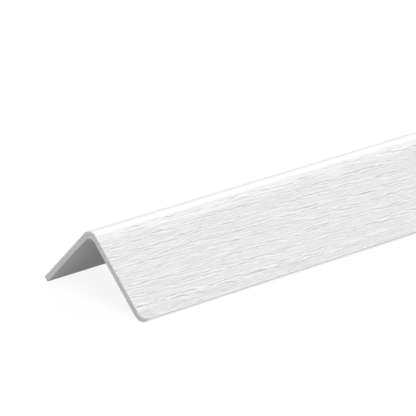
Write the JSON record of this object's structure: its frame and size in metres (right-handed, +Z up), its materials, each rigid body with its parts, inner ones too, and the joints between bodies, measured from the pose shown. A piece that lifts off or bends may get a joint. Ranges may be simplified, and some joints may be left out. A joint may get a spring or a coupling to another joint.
{
  "type": "corner guard",
  "caption": "Length of white rigid PVC angle with a rounded corner, wood-grain outer faces and a lip flaring out along one edge, for covering an outside wall corner.",
  "frame": {"origin": "middle of the length, centred across the width, at the level floor that the guard rests on", "axes": "+Y along the length, +X across from the foot of the plain leg to the lipped leg, +Z up to the corner"},
  "size_m": [0.0786, 1.219, 0.0357],
  "materials": {
    "profile": "satin"
  },
  "bodies": {
    "root": {"corner_guard": "profile"}
  },
  "joints": []
}
